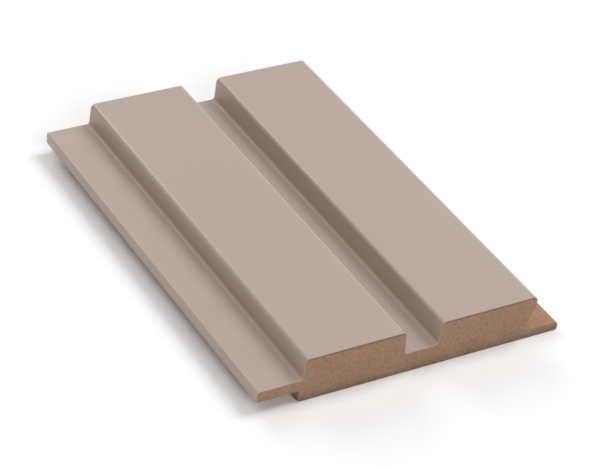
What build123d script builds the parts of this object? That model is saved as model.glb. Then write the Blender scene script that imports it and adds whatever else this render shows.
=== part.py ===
from build123d import *
import math
import os

os.makedirs("parts", exist_ok=True)

# Sizes in millimetres. X runs across the panel, Y along it, Z up from its back.

# Overall
panel_thickness = 16.0
sample_length = 150.0

# Lip that laps over the next panel's tongue
lip_reach = 15.7
lip_top_height = 8.2
lip_thickness = 3.9
lip_tip_radius = 0.5

# Back of the panel, set in from the rib to leave a rabbet for the next panel's tongue
base_inset = 1.0
base_edge_radius = 1.0
rabbet_corner_radius = 0.5

# Ribs
rib_width = 35.4
rib_edge_radius = 1.6
wall_draft_deg = 3.0

# Groove between the ribs
groove_width = 12.2
groove_floor_height = 7.4
inner_corner_radius = 1.0

# Tongue and the wall cut back above it
tongue_thickness = 3.0
tongue_reach = 14.5
tongue_tip_radius = 1.0
tongue_root_radius = 1.0
undercut_start_height = 12.15
undercut_angle_deg = 26.6
brow_radius = 0.5


def draft_shift(drop: float) -> float:
    """Distance a drafted wall moves outwards as it comes down by a drop."""
    return drop * math.tan(math.radians(wall_draft_deg))


# Stations across the section, from the lip tip
lip_under_height = lip_top_height - lip_thickness
rib_1_foot_left = lip_reach
rib_1_top_left = rib_1_foot_left + draft_shift(panel_thickness - lip_top_height)
rib_1_top_right = rib_1_top_left + rib_width
rib_1_foot_right = rib_1_top_right + draft_shift(panel_thickness - groove_floor_height)
rib_2_foot_left = rib_1_foot_right + groove_width
rib_2_top_left = rib_2_foot_left + draft_shift(panel_thickness - groove_floor_height)
rib_2_top_right = rib_2_top_left + rib_width
brow_x = rib_2_top_right + draft_shift(panel_thickness - undercut_start_height)
undercut_depth = (undercut_start_height - tongue_thickness) * math.tan(math.radians(undercut_angle_deg))
tongue_root_x = brow_x - undercut_depth
tongue_tip_x = tongue_root_x + tongue_reach
base_left = rib_1_foot_left - base_inset
overall_width = tongue_tip_x

# Corners of the section in order, each with the radius of its rounding
corners = [
    (0.0, lip_under_height, 0.0),
    (0.0, lip_top_height, lip_tip_radius),
    (rib_1_foot_left, lip_top_height, inner_corner_radius),
    (rib_1_top_left, panel_thickness, rib_edge_radius),
    (rib_1_top_right, panel_thickness, rib_edge_radius),
    (rib_1_foot_right, groove_floor_height, inner_corner_radius),
    (rib_2_foot_left, groove_floor_height, inner_corner_radius),
    (rib_2_top_left, panel_thickness, rib_edge_radius),
    (rib_2_top_right, panel_thickness, rib_edge_radius),
    (brow_x, undercut_start_height, brow_radius),
    (tongue_root_x, tongue_thickness, tongue_root_radius),
    (tongue_tip_x, tongue_thickness, tongue_tip_radius),
    (tongue_tip_x, 0.0, tongue_tip_radius),
    (base_left, 0.0, base_edge_radius),
    (base_left, lip_under_height, rabbet_corner_radius),
]


def corner_vertex(face: Face, x: float, z: float) -> Vertex:
    """Section vertex that lies at a corner."""
    return min(face.vertices(), key=lambda v: math.hypot(v.X - x, v.Z - z))


def panel_section() -> Face:
    """Cross-section of the panel, centred across its width, with its corners rounded."""
    offset = overall_width / 2
    points = [(x - offset, 0.0, z) for x, z, _ in corners]
    face = Face(Wire.make_polygon([Vector(*p) for p in points], close=True))
    for x, z, radius in corners:
        if radius > 0:
            face = face.fillet_2d(radius, [corner_vertex(face, x - offset, z)])
    return face


section = panel_section()
wall_panel = extrude(section, amount=sample_length / 2, dir=(0, 1, 0), both=True)
export_step(wall_panel, "parts/wall_panel.step")
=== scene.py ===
"""A short length of ribbed, lap-jointed wall panel: lacquered fibreboard, lying on a pale studio floor."""
import logging
import math
from dataclasses import dataclass
from enum import Enum
from typing import Any, Iterable, Union

import bmesh
import bpy
from mathutils import Matrix, Vector, noise


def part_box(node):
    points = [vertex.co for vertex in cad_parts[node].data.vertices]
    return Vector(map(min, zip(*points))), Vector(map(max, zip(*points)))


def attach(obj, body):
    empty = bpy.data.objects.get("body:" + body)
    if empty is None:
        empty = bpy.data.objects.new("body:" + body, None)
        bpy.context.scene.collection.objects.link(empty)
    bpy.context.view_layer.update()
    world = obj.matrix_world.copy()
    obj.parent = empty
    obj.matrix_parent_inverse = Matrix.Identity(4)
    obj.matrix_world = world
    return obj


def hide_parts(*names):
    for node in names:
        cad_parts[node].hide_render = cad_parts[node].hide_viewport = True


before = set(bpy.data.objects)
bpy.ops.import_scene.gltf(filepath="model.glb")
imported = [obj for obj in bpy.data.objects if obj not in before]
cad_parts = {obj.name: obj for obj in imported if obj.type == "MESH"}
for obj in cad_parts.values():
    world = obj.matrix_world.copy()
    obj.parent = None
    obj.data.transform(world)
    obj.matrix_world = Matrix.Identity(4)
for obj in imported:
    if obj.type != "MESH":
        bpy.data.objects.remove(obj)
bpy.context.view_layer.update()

log = logging.getLogger("wall_panel")

NODE = "wall_panel"
MM = 0.001

# Faces that meet at less than this angle are shaded as one smooth surface
SMOOTH_ANGLE = math.radians(32)

Number = Union[float, int]
Span = tuple[float, float]
Axes = tuple[float, float, float]
Colour = tuple[float, float, float, float]


class Coat(Enum):
    """What covers a stretch of the panel's outline."""

    LACQUER = "lacquer"
    BARE = "bare"


class Slot(Enum):
    """Names of the material slots for the lacquered and the bare board."""

    LACQUERED = "lacquered_board"
    BARE = "bare_board"


class Blend(Enum):
    """Ways to lay one colour over another."""

    COVER = "MIX"
    TINT = "MULTIPLY"


# The section


@dataclass(frozen=True)
class Corner:
    """One corner of the section, and the coat of the stretch that runs on from it."""

    x: float
    z: float
    radius: float
    coat: Coat

    def place(self) -> Vector:
        """Place of the corner on the section, across and up."""
        return Vector((self.x, self.z))


@dataclass(frozen=True)
class PanelSection:
    """Section of the panel in metres, drawn from the lip's lower edge round over the face."""

    left: float
    thickness: float
    lip_reach: float = 15.7 * MM
    lip_top_height: float = 8.2 * MM
    lip_thickness: float = 3.9 * MM
    lip_tip_radius: float = 0.5 * MM
    base_inset: float = 1.0 * MM
    base_edge_radius: float = 1.0 * MM
    rabbet_corner_radius: float = 0.5 * MM
    rib_width: float = 35.4 * MM
    rib_edge_radius: float = 1.6 * MM
    wall_draft: float = math.radians(3.0)
    groove_width: float = 12.2 * MM
    groove_floor_height: float = 7.4 * MM
    inner_corner_radius: float = 1.0 * MM
    tongue_thickness: float = 3.0 * MM
    tongue_reach: float = 14.5 * MM
    tongue_tip_radius: float = 1.0 * MM
    tongue_root_radius: float = 1.0 * MM
    undercut_start_height: float = 12.15 * MM
    undercut_angle: float = math.radians(26.6)
    brow_radius: float = 0.5 * MM

    def draft_shift(self, drop: float) -> float:
        """Distance that a drafted wall moves outwards as it comes down by a drop."""
        return drop * math.tan(self.wall_draft)

    def corners(self) -> list[Corner]:
        """Lists the corners of the whole section in order.

        Returns:
            The corners, each with its rounding and the coat of the stretch that follows it.
        """
        lip_under = self.lip_top_height - self.lip_thickness
        foot_1 = self.left + self.lip_reach
        top_1 = foot_1 + self.draft_shift(self.thickness - self.lip_top_height)
        top_1_end = top_1 + self.rib_width
        groove_drop = self.draft_shift(self.thickness - self.groove_floor_height)
        groove_start = top_1_end + groove_drop
        groove_end = groove_start + self.groove_width
        top_2 = groove_end + groove_drop
        top_2_end = top_2 + self.rib_width
        brow = top_2_end + self.draft_shift(self.thickness - self.undercut_start_height)
        undercut_rise = self.undercut_start_height - self.tongue_thickness
        root = brow - undercut_rise * math.tan(self.undercut_angle)
        tip = root + self.tongue_reach
        base = foot_1 - self.base_inset
        floor, edge, inner = self.groove_floor_height, self.rib_edge_radius, self.inner_corner_radius
        paint, bare = Coat.LACQUER, Coat.BARE
        return [
            Corner(self.left, lip_under, 0.0, paint),
            Corner(self.left, self.lip_top_height, self.lip_tip_radius, paint),
            Corner(foot_1, self.lip_top_height, inner, paint),
            Corner(top_1, self.thickness, edge, paint),
            Corner(top_1_end, self.thickness, edge, paint),
            Corner(groove_start, floor, inner, paint),
            Corner(groove_end, floor, inner, paint),
            Corner(top_2, self.thickness, edge, paint),
            Corner(top_2_end, self.thickness, edge, paint),
            Corner(brow, self.undercut_start_height, self.brow_radius, bare),
            Corner(root, self.tongue_thickness, self.tongue_root_radius, bare),
            Corner(tip, self.tongue_thickness, self.tongue_tip_radius, bare),
            Corner(tip, 0.0, self.tongue_tip_radius, bare),
            Corner(base, 0.0, self.base_edge_radius, bare),
            Corner(base, lip_under, self.rabbet_corner_radius, bare),
        ]

    def wall_feet(self) -> tuple[float, ...]:
        """Finds the feet of the lacquered walls that face the lip.

        Returns:
            Their places across the panel.
        """
        corners = [corner for corner in self.corners() if corner.coat is Coat.LACQUER]
        climbs = [low for low, high in zip(corners, corners[1:]) if high.z > low.z]
        return tuple(corner.x for corner in climbs if corner.radius)


def bare_corners(corners: list[Corner], film: float) -> list[Corner]:
    """Takes the lacquer film off the section, so that only the board is left.

    Args:
        corners: The whole section's corners, in order.
        film: Thickness of the lacquer film, in metres.

    Returns:
        The board's corners: each is where its two stretches meet once the lacquered ones have moved in.
    """
    inside = []
    for index, corner in enumerate(corners):
        before, after = corners[index - 1], corners[(index + 1) % len(corners)]
        along_in = (corner.place() - before.place()).normalized()
        along_out = (after.place() - corner.place()).normalized()
        film_in = film if before.coat is Coat.LACQUER else 0.0
        film_out = film if corner.coat is Coat.LACQUER else 0.0
        turn = along_in.cross(along_out)
        shift = (along_in * film_out - along_out * film_in) / turn
        grown = film if film_in and film_out else 0.0
        radius = corner.radius + math.copysign(grown, turn) if corner.radius else 0.0
        inside.append(Corner(corner.x + shift.x, corner.z + shift.y, radius, corner.coat))
    return inside


def add_section_face(bm: bmesh.types.BMesh, corners: list[Corner], y: float, segments: int) -> None:
    """Adds the section as one flat face with its corners rounded.

    Args:
        bm: The empty mesh to draw in.
        corners: The section's corners in order.
        y: Place of the section along the panel.
        segments: Steps in each rounding.
    """
    verts = [bm.verts.new((corner.x, y, corner.z)) for corner in corners]
    bm.faces.new(verts)
    for index, corner in enumerate(corners):
        if corner.radius <= 0:
            continue
        before = corners[index - 1].place() - corner.place()
        after = corners[(index + 1) % len(corners)].place() - corner.place()
        tangent_length = corner.radius / math.tan(before.angle(after) / 2)
        bmesh.ops.bevel(
            bm,
            geom=[verts[index]],
            offset=tangent_length,
            offset_type="OFFSET",
            segments=segments,
            profile=0.5,
            affect="VERTICES",
            clamp_overlap=False,
            material=-1,
        )


def finish_piece(
    bm: bmesh.types.BMesh, name: str, material: bpy.types.Material
) -> bpy.types.Object:
    """Turns a mesh into a piece of the panel: outward faces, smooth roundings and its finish.

    Args:
        bm: The finished shape, which is freed.
        name: Name of the piece.
        material: Its finish.

    Returns:
        The piece, riding on the panel's one body.
    """
    bmesh.ops.recalc_face_normals(bm, faces=bm.faces[:])
    for face in bm.faces:
        face.smooth = True
    for edge in bm.edges:
        edge.smooth = edge.is_manifold and edge.calc_face_angle(math.pi) < SMOOTH_ANGLE
    mesh = bpy.data.meshes.new(name)
    bm.to_mesh(mesh)
    bm.free()
    piece = bpy.data.objects.new(name, mesh)
    bpy.context.scene.collection.objects.link(piece)
    mesh.materials.append(material)
    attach(piece, "root")
    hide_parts(NODE)
    return piece


# Finishes


@dataclass(frozen=True)
class Grain:
    """One layer of smooth noise in a finish.

    Its size is the width of a blotch in metres, and stretch makes the blotches longer along each axis.
    Detail and roughness are the number and strength of its finer octaves, and shift moves the pattern.
    Tone is its share in the colour's light and dark, dulling in the roughness and relief in the height.
    """

    size: float
    stretch: Axes = (1.0, 1.0, 1.0)
    detail: float = 2.0
    roughness: float = 0.5
    shift: float = 0.0
    tone: float = 0.0
    dulling: float = 0.0
    relief: float = 0.0


@dataclass(frozen=True)
class Fleck:
    """Scattered specks of one colour: the parts of a noise layer that rise past a threshold."""

    grain: Grain
    threshold: Span
    cover: float
    colour: Colour


class Signal:
    """A number that varies over a surface, held as a shader node's output."""

    def __init__(self, graph: "ShaderGraph", socket: bpy.types.NodeSocket) -> None:
        """Keeps the graph and the socket that carries the number."""
        self.graph = graph
        self.socket = socket

    def __add__(self, other: "Value") -> "Signal":
        """Adds another number."""
        return self.graph.maths("ADD", self, other)

    __radd__ = __add__

    def __mul__(self, other: "Value") -> "Signal":
        """Multiplies by another number."""
        return self.graph.maths("MULTIPLY", self, other)

    __rmul__ = __mul__

    def __sub__(self, other: "Value") -> "Signal":
        """Subtracts another number."""
        return self.graph.maths("SUBTRACT", self, other)

    def __rsub__(self, other: "Value") -> "Signal":
        """Subtracts this number from another."""
        return self.graph.maths("SUBTRACT", other, self)

    def clamped(self) -> "Signal":
        """Holds the number between 0 and 1."""
        return self.graph.maths("ADD", self, 0.0, use_clamp=True)

    def size(self) -> "Signal":
        """Drops the number's sign."""
        return self.graph.maths("ABSOLUTE", self)

    def wave(self, pitch: float) -> "Signal":
        """Swings between -1 and 1, once in each step of a pitch."""
        return self.graph.maths("SINE", self * (2 * math.pi / pitch))

    def ramp(self, start: float, end: float) -> "Signal":
        """Rises smoothly from 0 at one value to 1 at another."""
        return self.graph.step_between(self, start, end)


Value = Union[Signal, Number]


class ShaderGraph:
    """The node tree of one finish, with short ways to add to it."""

    def __init__(self, name: str) -> None:
        """Starts an empty material that ends in one Principled shader.

        Args:
            name: Name of the material.
        """
        self.material = bpy.data.materials.new(name)
        self.material.use_nodes = True
        self.tree = self.material.node_tree
        self.tree.nodes.clear()
        output = self.tree.nodes.new("ShaderNodeOutputMaterial")
        self.shader = self.tree.nodes.new("ShaderNodeBsdfPrincipled")
        self.tree.links.new(self.shader.outputs["BSDF"], output.inputs["Surface"])

    def node(self, kind: str, settings: dict[str, Any], inputs: dict[Union[str, int], Any]) -> bpy.types.Node:
        """Adds any node.

        Args:
            kind: The node's type.
            settings: Its own settings, which are set first.
            inputs: A value, a Signal or an output socket for each input, by name or number.

        Returns:
            The new node.
        """
        node = self.tree.nodes.new(kind)
        for name, value in settings.items():
            setattr(node, name, value)
        for name, value in inputs.items():
            self.feed(node.inputs[name], value)
        return node

    def feed(self, socket: bpy.types.NodeSocket, value: Any) -> None:
        """Links a Signal or an output to an input, or sets a plain value on it.

        Args:
            socket: The input.
            value: What it gets.
        """
        if isinstance(value, Signal):
            self.tree.links.new(value.socket, socket)
        elif isinstance(value, bpy.types.NodeSocket):
            self.tree.links.new(value, socket)
        else:
            socket.default_value = value

    def maths(self, operation: str, *values: Value, use_clamp: bool = False) -> Signal:
        """Adds one Math node.

        Args:
            operation: The node's operation.
            values: Its numbers, in order.
            use_clamp: Whether the result is held between 0 and 1.

        Returns:
            The result.
        """
        settings = {"operation": operation, "use_clamp": use_clamp}
        node = self.node("ShaderNodeMath", settings, dict(enumerate(values)))
        return Signal(self, node.outputs[0])

    def step_between(self, value: Value, start: float, end: float) -> Signal:
        """Adds a smooth step.

        Args:
            value: The number that it follows.
            start: Where the step leaves 0.
            end: Where it reaches 1, above or below the start.

        Returns:
            The step, from 0 to 1.
        """
        inputs = {"Value": value, "From Min": start, "From Max": end, "To Min": 0.0, "To Max": 1.0}
        node = self.node("ShaderNodeMapRange", {"interpolation_type": "SMOOTHSTEP"}, inputs)
        return Signal(self, node.outputs["Result"])

    def position(self) -> bpy.types.NodeSocket:
        """Place on the panel in the panel's own frame, in metres."""
        return self.node("ShaderNodeTexCoord", {}, {}).outputs["Object"]

    def rise(self) -> Signal:
        """Upward part of the surface's own direction: 1 on a top face, 0 on a wall."""
        facing = self.node("ShaderNodeTexCoord", {}, {}).outputs["Normal"]
        return self.axes(facing)[2]

    def axes(self, vector: bpy.types.NodeSocket) -> tuple[Signal, Signal, Signal]:
        """Splits a place into its three coordinates."""
        split = self.node("ShaderNodeSeparateXYZ", {}, {"Vector": vector})
        return Signal(self, split.outputs[0]), Signal(self, split.outputs[1]), Signal(self, split.outputs[2])

    def grain(self, place: bpy.types.NodeSocket, grain: Grain) -> Signal:
        """Adds smooth noise about 0.

        Args:
            place: Place on the panel, in metres.
            grain: The noise's size, stretch and finer detail.

        Returns:
            A number of about -0.5 to 0.5.
        """
        scale = tuple(1.0 / (grain.size * factor) for factor in grain.stretch)
        moved = {"Vector": place, "Location": (grain.shift,) * 3, "Scale": scale}
        placed = self.node("ShaderNodeMapping", {"vector_type": "POINT"}, moved)
        octaves = {"Detail": grain.detail, "Roughness": grain.roughness}
        inputs = {"Vector": placed.outputs[0], "Scale": 1.0, **octaves}
        field = self.node("ShaderNodeTexNoise", {"noise_dimensions": "3D"}, inputs)
        return Signal(self, field.outputs[0]) - 0.5

    def mix(self, factor: Value, low: Any, high: Any, blend: Blend = Blend.COVER) -> bpy.types.NodeSocket:
        """Mixes two colours.

        Args:
            factor: 0 for the low colour, 1 for the high one.
            low: Colour or output socket.
            high: Colour or output socket.
            blend: How the high colour is laid over the low one.

        Returns:
            The mixed colour.
        """
        settings = {"data_type": "RGBA", "blend_type": blend.value, "clamp_factor": True}
        node = self.node("ShaderNodeMix", settings, {0: factor, 6: low, 7: high})
        return node.outputs[2]

    def scaled(self, colour: Any, factor: Value) -> bpy.types.NodeSocket:
        """Multiplies a colour by a number."""
        node = self.node("ShaderNodeVectorMath", {"operation": "SCALE"}, {"Vector": colour, "Scale": factor})
        return node.outputs[0]

    def lifted(self, colour: Any, amount: Value) -> bpy.types.NodeSocket:
        """Adds the same amount of grey to all three parts of a colour."""
        node = self.node("ShaderNodeVectorMath", {"operation": "ADD"}, {0: colour, 1: amount})
        return node.outputs[0]

    def bump(self, height: Signal, distance: float) -> bpy.types.NodeSocket:
        """Turns a height of 0 to 1 into a surface normal, over a real distance in metres."""
        node = self.node("ShaderNodeBump", {}, {"Strength": 1.0, "Distance": distance, "Height": height})
        return node.outputs["Normal"]

    def dress(self, **inputs: Any) -> bpy.types.Material:
        """Sets or links the shader's inputs.

        Args:
            inputs: A value, a Signal or an output for each, named with underscores for spaces.

        Returns:
            The finished material.
        """
        for name, value in inputs.items():
            self.feed(self.shader.inputs[name.replace("_", " ")], value)
        return self.material


@dataclass(frozen=True)
class SatinLacquer:
    """Sprayed satin lacquer in a warm greige, with a faint spray texture.

    It is painted a little yellower on the walls and warmer in the corners at their feet and on the floor
    before them, a painted warm bounce light in their shade. It shows a dark edge along the ribs where the
    panel was sawn through. A span of two depths, heights or rises names where a change starts and where it is
    complete.
    """

    half_length: float
    face_height: float
    lip_tip: float
    lip_height: float
    wall_feet: tuple[float, ...]
    colour: Axes = (0.425, 0.338, 0.294)
    roughness: float = 0.37
    specular: float = 0.5
    cloud: Grain = Grain(28 * MM, detail=1.0, tone=0.02, dulling=0.03)
    speck: Grain = Grain(0.4 * MM, shift=3.0, tone=0.03, dulling=0.01)
    peel: Grain = Grain(1.4 * MM, detail=1.5, shift=7.0)
    peel_height: float = 0.004 * MM
    # Painted warm bounce light: steep walls on either side are tinted yellower, as light reflected warm into
    # their shade would make them.
    painted_wall_bounce_tint: Colour = (1.0, 0.98, 0.914, 1.0)
    wall_tilt: Span = (0.02, 0.65)
    # Painted warm bounce light: the concave corners at the walls' feet are tinted lighter and warmer where
    # the shade falls.
    painted_corner_bounce_tint: Colour = (1.06, 1.03, 0.96, 1.0)
    corner_dulling: float = 0.05
    corner_rise: Span = (0.03, 0.3)
    level_rise: Span = (0.9, 0.995)
    above_lip: Span = (1.6 * MM, 0.8 * MM)
    in_from_tip: Span = (2.0 * MM, 3.0 * MM)
    # Painted warm bounce light: a band of floor before each wall's foot is tinted lighter and warmer, where
    # the shade lies.
    painted_foot_bounce_tint: Colour = (1.07, 1.05, 0.985, 1.0)
    foot_band: float = 4.0 * MM
    foot_overrun: float = 0.2 * MM
    edge_colour: Colour = (0.370, 0.290, 0.250, 1.0)
    edge_depth: Span = (4.0 * MM, 1.5 * MM)
    sawn_depth: Span = (0.06 * MM, 0.03 * MM)
    sawn_dulling: float = 0.3

    def material(self) -> bpy.types.Material:
        """Builds the finish.

        Returns:
            The lacquer's material.
        """
        graph = ShaderGraph("satin_lacquer")
        place = graph.position()
        across, along, up = graph.axes(place)
        rise = graph.rise()
        cloud = graph.grain(place, self.cloud)
        speck = graph.grain(place, self.speck)

        level = rise.ramp(*self.level_rise)
        low = (up - self.lip_height).ramp(*self.above_lip)
        inside = (across - self.lip_tip).ramp(*self.in_from_tip)
        # Painted warm bounce light on the walls, chosen by how steep the surface is.
        wall = (1.0 - rise.size()).ramp(*self.wall_tilt)
        # Where painted warm bounce light goes: the inner corners and the floor bands before the walls.
        corner = rise.ramp(*self.corner_rise) * (1.0 - level) * low * inside
        painted_bounce_near_foot = self.foot_bounce_mask(across) * level * low
        sawn = (self.half_length - along.size()).ramp(*self.sawn_depth)
        near_face = (self.face_height - up).ramp(*self.edge_depth)

        colour = graph.scaled(self.colour, 1.0 + cloud * self.cloud.tone + speck * self.speck.tone)
        # Lays the painted warm bounce light over the lacquer's colour.
        for mask, tint in ((wall, self.painted_wall_bounce_tint), (corner, self.painted_corner_bounce_tint), (painted_bounce_near_foot, self.painted_foot_bounce_tint)):
            colour = graph.mix(mask, colour, tint, Blend.TINT)
        colour = graph.mix(sawn * near_face, colour, self.edge_colour)
        dulling = cloud * self.cloud.dulling + speck * self.speck.dulling
        dulling = dulling + corner * self.corner_dulling + sawn * self.sawn_dulling
        return graph.dress(
            Base_Color=colour,
            Roughness=self.roughness + dulling,
            Specular_IOR_Level=self.specular,
            Normal=graph.bump(graph.grain(place, self.peel) + 0.5, self.peel_height),
        )

    def foot_bounce_mask(self, across: Signal) -> Signal:
        """Marks the bands of floor in front of the walls, where painted warm bounce light lightens the shade.

        Args:
            across: Place across the panel.

        Returns:
            1 at each wall's foot, falling to 0 over the band's width.
        """
        bands = []
        for foot in self.wall_feet:
            past = across - foot
            bands.append(past.ramp(-self.foot_band, 0.0) * past.ramp(self.foot_overrun, 0.0))
        return sum(bands[1:], bands[0])


@dataclass(frozen=True)
class BareFibreboard:
    """Bare medium-density fibreboard: sawn at the ends, milled along the joint, sanded on the back.

    The sawn ends are painted darker towards the back, a painted shade standing in for the floor's contact
    shadow, and they are darker right under the face.
    A span of two depths or heights names where a change starts and where it is complete.
    """

    half_length: float
    face_height: float
    sawn_colour: Colour = (0.331, 0.192, 0.127, 1.0)
    milled_colour: Colour = (0.393, 0.215, 0.136, 1.0)
    sanded_colour: Colour = (0.326, 0.203, 0.130, 1.0)
    cool_tint: Colour = (0.93, 1.02, 0.955, 1.0)
    cool_contrast: float = 2.2
    roughness: float = 0.86
    specular: float = 0.25
    sawn_depth: Span = (0.5 * MM, 0.3 * MM)
    back_height: Span = (0.12 * MM, 0.05 * MM)
    # Painted shade: the sawn ends darken towards the back, gently at first and then strongly near the floor,
    # standing in for the floor's contact shadow.
    painted_low_shade_height: Span = (6.5 * MM, 1.5 * MM)
    painted_low_shade: float = 0.10
    painted_contact_shade_height: Span = (2.6 * MM, 0.3 * MM)
    painted_contact_shade: float = 0.22
    face_depth: Span = (1.0 * MM, 0.65 * MM)
    face_shade: float = 0.26
    face_shade_drift: float = 0.5
    clump: Grain = Grain(1.5 * MM, (1.0, 1.0, 0.95), shift=1.0, tone=0.31, relief=0.3)
    fibre: Grain = Grain(
        0.56 * MM,
        (1.05, 1.05, 0.8),
        detail=3.0,
        roughness=0.62,
        shift=5.0,
        tone=0.27,
        dulling=0.15,
        relief=0.8,
    )
    drift: Grain = Grain(7.0 * MM, detail=1.0, shift=9.0, tone=0.10)
    hue: Grain = Grain(2.6 * MM, shift=13.0)
    streak: Grain = Grain(0.35 * MM, (1.0, 90.0, 1.0), detail=1.0, shift=23.0, relief=0.25)
    bark: Fleck = Fleck(
        Grain(0.50 * MM, (1.3, 1.3, 0.8), detail=1.0, shift=11.0, relief=-0.2),
        threshold=(0.14, 0.26),
        cover=0.40,
        colour=(0.110, 0.062, 0.036, 1.0),
    )
    strand: Fleck = Fleck(
        Grain(0.45 * MM, (1.7, 1.7, 0.7), detail=1.0, shift=17.0, relief=0.15),
        threshold=(0.14, 0.28),
        cover=0.42,
        colour=(0.500, 0.350, 0.240, 1.0),
    )
    grey_mottle: float = 0.17
    ripple_pitch: float = 1.3 * MM
    ripple_relief: float = 0.05
    relief_height: float = 0.07 * MM

    def material(self) -> bpy.types.Material:
        """Builds the finish.

        Returns:
            The board's material.
        """
        graph = ShaderGraph("bare_fibreboard")
        place = graph.position()
        _, along, up = graph.axes(place)
        sawn = (self.half_length - along.size()).ramp(*self.sawn_depth)
        back = up.ramp(*self.back_height)
        clump = graph.grain(place, self.clump)
        fibre = graph.grain(place, self.fibre)
        drift = graph.grain(place, self.drift)
        cool = (0.5 - graph.grain(place, self.hue) * self.cool_contrast).clamped()
        bark = graph.grain(place, self.bark.grain).ramp(*self.bark.threshold)
        strand = graph.grain(place, self.strand.grain).ramp(*self.strand.threshold)

        milled = graph.mix(back, self.milled_colour, self.sanded_colour)
        body = graph.mix(sawn, milled, self.sawn_colour)
        body = graph.mix(cool, body, self.cool_tint, Blend.TINT)
        # Painted shade towards the back of the sawn ends, and the darker line right under the face.
        low_shade = up.ramp(*self.painted_low_shade_height) * self.painted_low_shade
        contact_shade = up.ramp(*self.painted_contact_shade_height) * self.painted_contact_shade
        under_face = (self.face_height - up).ramp(*self.face_depth)
        painted_shade_and_face_line = (low_shade + contact_shade + under_face * (self.face_shade + drift * self.face_shade_drift)) * sawn
        mottle = clump * self.clump.tone + fibre * self.fibre.tone + drift * self.drift.tone
        colour = graph.lifted(graph.scaled(body, 1.0 + mottle - painted_shade_and_face_line), mottle * self.grey_mottle)
        colour = graph.mix(bark * self.bark.cover, colour, self.bark.colour)
        colour = graph.mix(strand * self.strand.cover, colour, self.strand.colour)

        ripple = along.wave(self.ripple_pitch) * (1.0 - sawn) * (1.0 - back)
        streak = graph.grain(place, self.streak) * (1.0 - sawn)
        height = fibre * self.fibre.relief + clump * self.clump.relief + streak * self.streak.relief
        height = height + ripple * self.ripple_relief + 0.5
        height = height + bark * self.bark.grain.relief + strand * self.strand.grain.relief
        return graph.dress(
            Base_Color=colour,
            Roughness=self.roughness + fibre * self.fibre.dulling,
            Specular_IOR_Level=self.specular,
            Normal=graph.bump(height, self.relief_height),
        )


@dataclass(frozen=True)
class PaleFloor:
    """Plain pale studio floor."""

    colour: Colour = (0.92, 0.92, 0.92, 1.0)
    roughness: float = 0.9
    specular: float = 0.1

    def material(self) -> bpy.types.Material:
        """Builds the matt finish.

        Returns:
            The floor's material.
        """
        graph = ShaderGraph("pale_floor")
        return graph.dress(
            Base_Color=self.colour, Roughness=self.roughness, Specular_IOR_Level=self.specular
        )


# Pieces


@dataclass
class LacquerFilm:
    """The lacquer over the ribbed face, from the lip's lower edge to the brow over the tongue."""

    section: PanelSection
    length: float
    thickness: float = 0.14 * MM
    end_relief: float = 0.02 * MM
    step: float = 0.5 * MM
    rounding_segments: int = 12
    chip_depth: float = 0.05 * MM
    chips_per_metre: float = 900.0
    chip_threshold: float = 0.25

    def coated_edges(self, bm: bmesh.types.BMesh) -> list[bmesh.types.BMEdge]:
        """Finds the outline's edges that carry lacquer.

        Args:
            bm: A mesh that holds the section as one face.

        Returns:
            Its edges from the lip's lower edge, over the face, to the end of the brow's rounding.
        """
        corners = self.section.corners()
        bare = [corner for corner in corners if corner.coat is Coat.BARE]
        brow, root = bare[0], bare[1]
        down = (root.place() - brow.place()).normalized()
        angle = math.pi - self.section.undercut_angle - self.section.wall_draft
        brow_end = brow.place() + down * brow.radius / math.tan(angle / 2)
        bm.faces.ensure_lookup_table()
        loops = list(bm.faces[0].loops)
        first = self.nearest_loop(loops, corners[0].place())
        last = self.nearest_loop(loops, brow_end)
        if last < first:
            last += len(loops)
        return [loops[index % len(loops)].edge for index in range(first, last)]

    def nearest_loop(self, loops: list[bmesh.types.BMLoop], place: Vector) -> int:
        """Number of the loop whose vertex lies nearest to a place on the section."""
        gaps = [(Vector((loop.vert.co.x, loop.vert.co.z)) - place).length for loop in loops]
        return gaps.index(min(gaps))

    def build(self, material: bpy.types.Material) -> bpy.types.Object:
        """Builds the film as a closed shell.

        Args:
            material: The lacquer.

        Returns:
            The finished piece.
        """
        half = self.length / 2 - self.end_relief
        bm = bmesh.new()
        add_section_face(bm, self.section.corners(), -half, self.rounding_segments)
        coated = set(self.coated_edges(bm))
        bare = [edge for edge in bm.edges if edge not in coated]
        bmesh.ops.delete(bm, geom=bm.faces[:], context="FACES_ONLY")
        bmesh.ops.delete(bm, geom=bare, context="EDGES")
        for edge in bm.edges[:]:
            cuts = round(edge.calc_length() / self.step) - 1
            if cuts > 0:
                bmesh.ops.subdivide_edges(bm, edges=[edge], cuts=cuts)
        made = bmesh.ops.extrude_edge_only(bm, edges=bm.edges[:])
        moved = [item for item in made["geom"] if isinstance(item, bmesh.types.BMVert)]
        bmesh.ops.translate(bm, verts=moved, vec=(0, 2 * half, 0))
        bmesh.ops.recalc_face_normals(bm, faces=bm.faces[:])
        highest = max(bm.faces, key=lambda face: face.calc_center_median().z)
        if highest.normal.z < 0:
            bmesh.ops.reverse_faces(bm, faces=bm.faces[:])
        bmesh.ops.solidify(bm, geom=bm.faces[:], thickness=self.thickness)
        for vert in bm.verts:
            self.chip(vert)
        return finish_piece(bm, "lacquer_film", material)

    def chip(self, vert: bmesh.types.BMVert) -> None:
        """Breaks a vertex of the film's sawn edge back a little, in scattered spots."""
        depth = max(0.0, noise.noise(vert.co * self.chips_per_metre) - self.chip_threshold) * self.chip_depth
        vert.co.y -= math.copysign(depth, vert.co.y)


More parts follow.
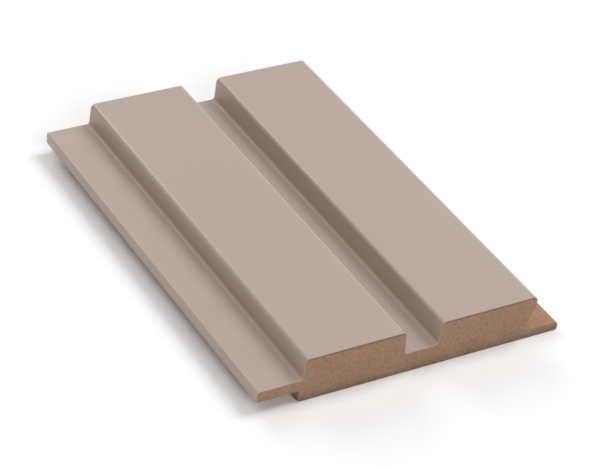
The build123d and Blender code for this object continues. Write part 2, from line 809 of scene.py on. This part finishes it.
@dataclass
class FibreboardCore:
    """The board under the lacquer, bare at its sawn ends, back, rabbet, tongue and undercut."""

    section: PanelSection
    length: float
    film: float
    rounding_segments: int = 8
    rim: float = 0.12 * MM
    grid: float = 0.3 * MM
    cut_tolerance: float = 0.001 * MM
    place_digits: int = 7
    tear_depth: float = 0.07 * MM
    fine_per_metre: float = 1600.0
    fine_share: float = 0.6
    coarse_per_metre: float = 420.0
    coarse_share: float = 0.5
    coarse_shift: Axes = (3.0, 5.0, 7.0)

    def build(self, material: bpy.types.Material) -> bpy.types.Object:
        """Builds the board as a closed solid with fine sawn ends inside an even rim.

        Args:
            material: The bare board.

        Returns:
            The finished piece.
        """
        corners = bare_corners(self.section.corners(), self.film)
        bm = bmesh.new()
        add_section_face(bm, corners, -self.length / 2, self.rounding_segments)
        bmesh.ops.inset_region(bm, faces=bm.faces[:], thickness=self.rim, use_even_offset=True)
        self.cut_grid(bm)
        outline = {self.section_place(vert) for vert in bm.verts if vert.is_boundary}
        made = bmesh.ops.extrude_face_region(bm, geom=bm.faces[:])
        moved = [item for item in made["geom"] if isinstance(item, bmesh.types.BMVert)]
        bmesh.ops.translate(bm, verts=moved, vec=(0, self.length, 0))
        for vert in bm.verts:
            if self.section_place(vert) not in outline:
                self.tear(vert)
        return finish_piece(bm, "fibreboard_core", material)

    def section_place(self, vert: bmesh.types.BMVert) -> tuple[float, float]:
        """Place of a vertex on the section, the same at both ends of the board."""
        return round(vert.co.x, self.place_digits), round(vert.co.z, self.place_digits)

    def cut_grid(self, bm: bmesh.types.BMesh) -> None:
        """Cuts the flat section into small squares, so that its sawn texture can be real.

        Args:
            bm: A mesh that holds the section.
        """
        low = Vector((min(v.co.x for v in bm.verts), 0, min(v.co.z for v in bm.verts)))
        high = Vector((max(v.co.x for v in bm.verts), 0, max(v.co.z for v in bm.verts)))
        for axis in (Vector((1, 0, 0)), Vector((0, 0, 1))):
            span = (high - low).dot(axis)
            count = round(span / self.grid)
            for index in range(1, count):
                place = low + axis * (span * index / count)
                everything = bm.verts[:] + bm.edges[:] + bm.faces[:]
                bmesh.ops.bisect_plane(
                    bm, geom=everything, dist=self.cut_tolerance, plane_co=place, plane_no=axis
                )

    def tear(self, vert: bmesh.types.BMVert) -> None:
        """Sinks one vertex of a sawn end, by a depth that varies finely and coarsely.

        Args:
            vert: The vertex.
        """
        fine = noise.noise(vert.co * self.fine_per_metre)
        coarse = noise.noise(vert.co * self.coarse_per_metre + Vector(self.coarse_shift))
        depth = self.tear_depth * (self.fine_share * fine + self.coarse_share * coarse)
        vert.co.y -= math.copysign(max(0.0, depth), vert.co.y)


@dataclass
class WallPanel:
    """The whole panel: a fibreboard core under its lacquer film."""

    low: Vector
    high: Vector

    def build(self) -> list[bpy.types.Object]:
        """Builds and dresses both pieces.

        Returns:
            The pieces.
        """
        length = self.high.y - self.low.y
        section = PanelSection(left=self.low.x, thickness=self.high.z - self.low.z)
        film = LacquerFilm(section, length)
        core = FibreboardCore(section, length, film.thickness)
        board = BareFibreboard(length / 2, self.high.z)
        lacquer = SatinLacquer(
            length / 2, self.high.z, self.low.x, section.lip_top_height, section.wall_feet()
        )
        return [core.build(board.material()), film.build(lacquer.material())]


# Studio


@dataclass(frozen=True)
class Softbox:
    """One round softbox, with its bearing from +X towards +Y and its height, both in degrees."""

    name: str
    azimuth: float
    elevation: float
    power: float
    width: float = 1.9
    distance: float = 3.2

    def place(self) -> Vector:
        """Works out where the softbox hangs.

        Returns:
            Its place, in metres from the panel.
        """
        bearing, height = math.radians(self.azimuth), math.radians(self.elevation)
        way = Vector((math.cos(bearing), math.sin(bearing), math.tan(height)))
        return way.normalized() * self.distance


@dataclass
class Studio:
    """Plain pale floor, an even surround and large soft lights."""

    floor_size: float = 16.0
    floor_gap: float = 0.02 * MM
    surround: float = 0.208
    backdrop: float = 1.0
    softboxes: tuple[Softbox, ...] = (
        Softbox("right_softbox", azimuth=0, elevation=55, power=55.5),
        Softbox("front_softbox", azimuth=270, elevation=30, power=37.2),
        Softbox("back_softbox", azimuth=90, elevation=30, power=37.6),
        Softbox("high_left_softbox", azimuth=180, elevation=55, power=16.8),
        Softbox("left_softbox", azimuth=180, elevation=30, power=5.2),
        Softbox("low_back_softbox", azimuth=45, elevation=14, power=9.0, width=1.5),
    )

    def build(self) -> None:
        """Lays the floor, lights it and sets how colours are shown."""
        self.lay_floor()
        self.light_surround()
        for softbox in self.softboxes:
            self.hang(softbox)
        bpy.context.scene.view_settings.view_transform = "Standard"

    def lay_floor(self) -> None:
        """Lays the floor just under the panel."""
        bm = bmesh.new()
        bmesh.ops.create_grid(bm, x_segments=1, y_segments=1, size=self.floor_size / 2)
        bmesh.ops.translate(bm, verts=bm.verts[:], vec=(0, 0, -self.floor_gap))
        mesh = bpy.data.meshes.new("studio_floor")
        bm.to_mesh(mesh)
        bm.free()
        floor = bpy.data.objects.new("studio_floor", mesh)
        bpy.context.scene.collection.objects.link(floor)
        mesh.materials.append(PaleFloor().material())

    def light_surround(self) -> None:
        """Lights the scene evenly from all round, and stands a plain white backdrop behind the floor."""
        world = bpy.data.worlds.new("even_surround")
        world.use_nodes = True
        nodes, links = world.node_tree.nodes, world.node_tree.links
        rays = nodes.new("ShaderNodeLightPath")
        strength = nodes.new("ShaderNodeMapRange")
        strength.inputs["To Min"].default_value = self.surround
        strength.inputs["To Max"].default_value = self.backdrop
        background = nodes["Background"]
        background.inputs["Color"].default_value = (1.0, 1.0, 1.0, 1.0)
        links.new(rays.outputs["Is Camera Ray"], strength.inputs["Value"])
        links.new(strength.outputs["Result"], background.inputs["Strength"])
        bpy.context.scene.world = world

    def hang(self, softbox: Softbox) -> None:
        """Hangs a round softbox so that it faces the panel.

        Args:
            softbox: Its bearing, height, width and power.
        """
        data = bpy.data.lights.new(softbox.name, "AREA")
        data.shape = "DISK"
        data.size = softbox.width
        data.energy = softbox.power
        light = bpy.data.objects.new(softbox.name, data)
        light.location = softbox.place()
        light.rotation_euler = (-softbox.place()).to_track_quat("-Z", "Y").to_euler()
        bpy.context.scene.collection.objects.link(light)


@dataclass(frozen=True)
class PhotoCamera:
    """Camera at the photograph's viewing angle, solved from the panel's own straight lines."""

    place: Vector = Vector((-0.360182, -0.550091, 0.466445))
    sight: Vector = Vector((0.449615, 0.681751, -0.577115))
    roll: float = math.radians(6.984)
    focal_length: float = 146.272
    sensor_width: float = 36.0
    clip_start: float = 0.01

    def build(self) -> bpy.types.Object:
        """Adds the camera and makes it the scene's own.

        Returns:
            The camera.
        """
        data = bpy.data.cameras.new("photo_camera")
        data.lens = self.focal_length
        data.sensor_fit = "HORIZONTAL"
        data.sensor_width = self.sensor_width
        data.clip_start = self.clip_start
        camera = bpy.data.objects.new("photo_camera", data)
        turn = self.sight.to_track_quat("-Z", "Y").to_matrix() @ Matrix.Rotation(self.roll, 3, "Z")
        camera.matrix_world = Matrix.Translation(self.place) @ turn.to_4x4()
        bpy.context.scene.collection.objects.link(camera)
        bpy.context.scene.camera = camera
        return camera


def report(pieces: Iterable[bpy.types.Object]) -> None:
    """Logs each piece with its size and face count.

    Args:
        pieces: The finished pieces.
    """
    for piece in pieces:
        size = [round(value / MM, 2) for value in piece.dimensions]
        log.info("%s: %d faces, %s mm", piece.name, len(piece.data.polygons), size)


def main() -> None:
    """Builds the studio, the camera and the panel."""
    logging.basicConfig(level=logging.INFO, format="%(name)s: %(message)s")
    PhotoCamera().build()
    Studio().build()
    low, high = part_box(NODE)
    pieces = WallPanel(low, high).build()
    bpy.context.view_layer.update()
    report(pieces)


if __name__ == "__main__":
    main()
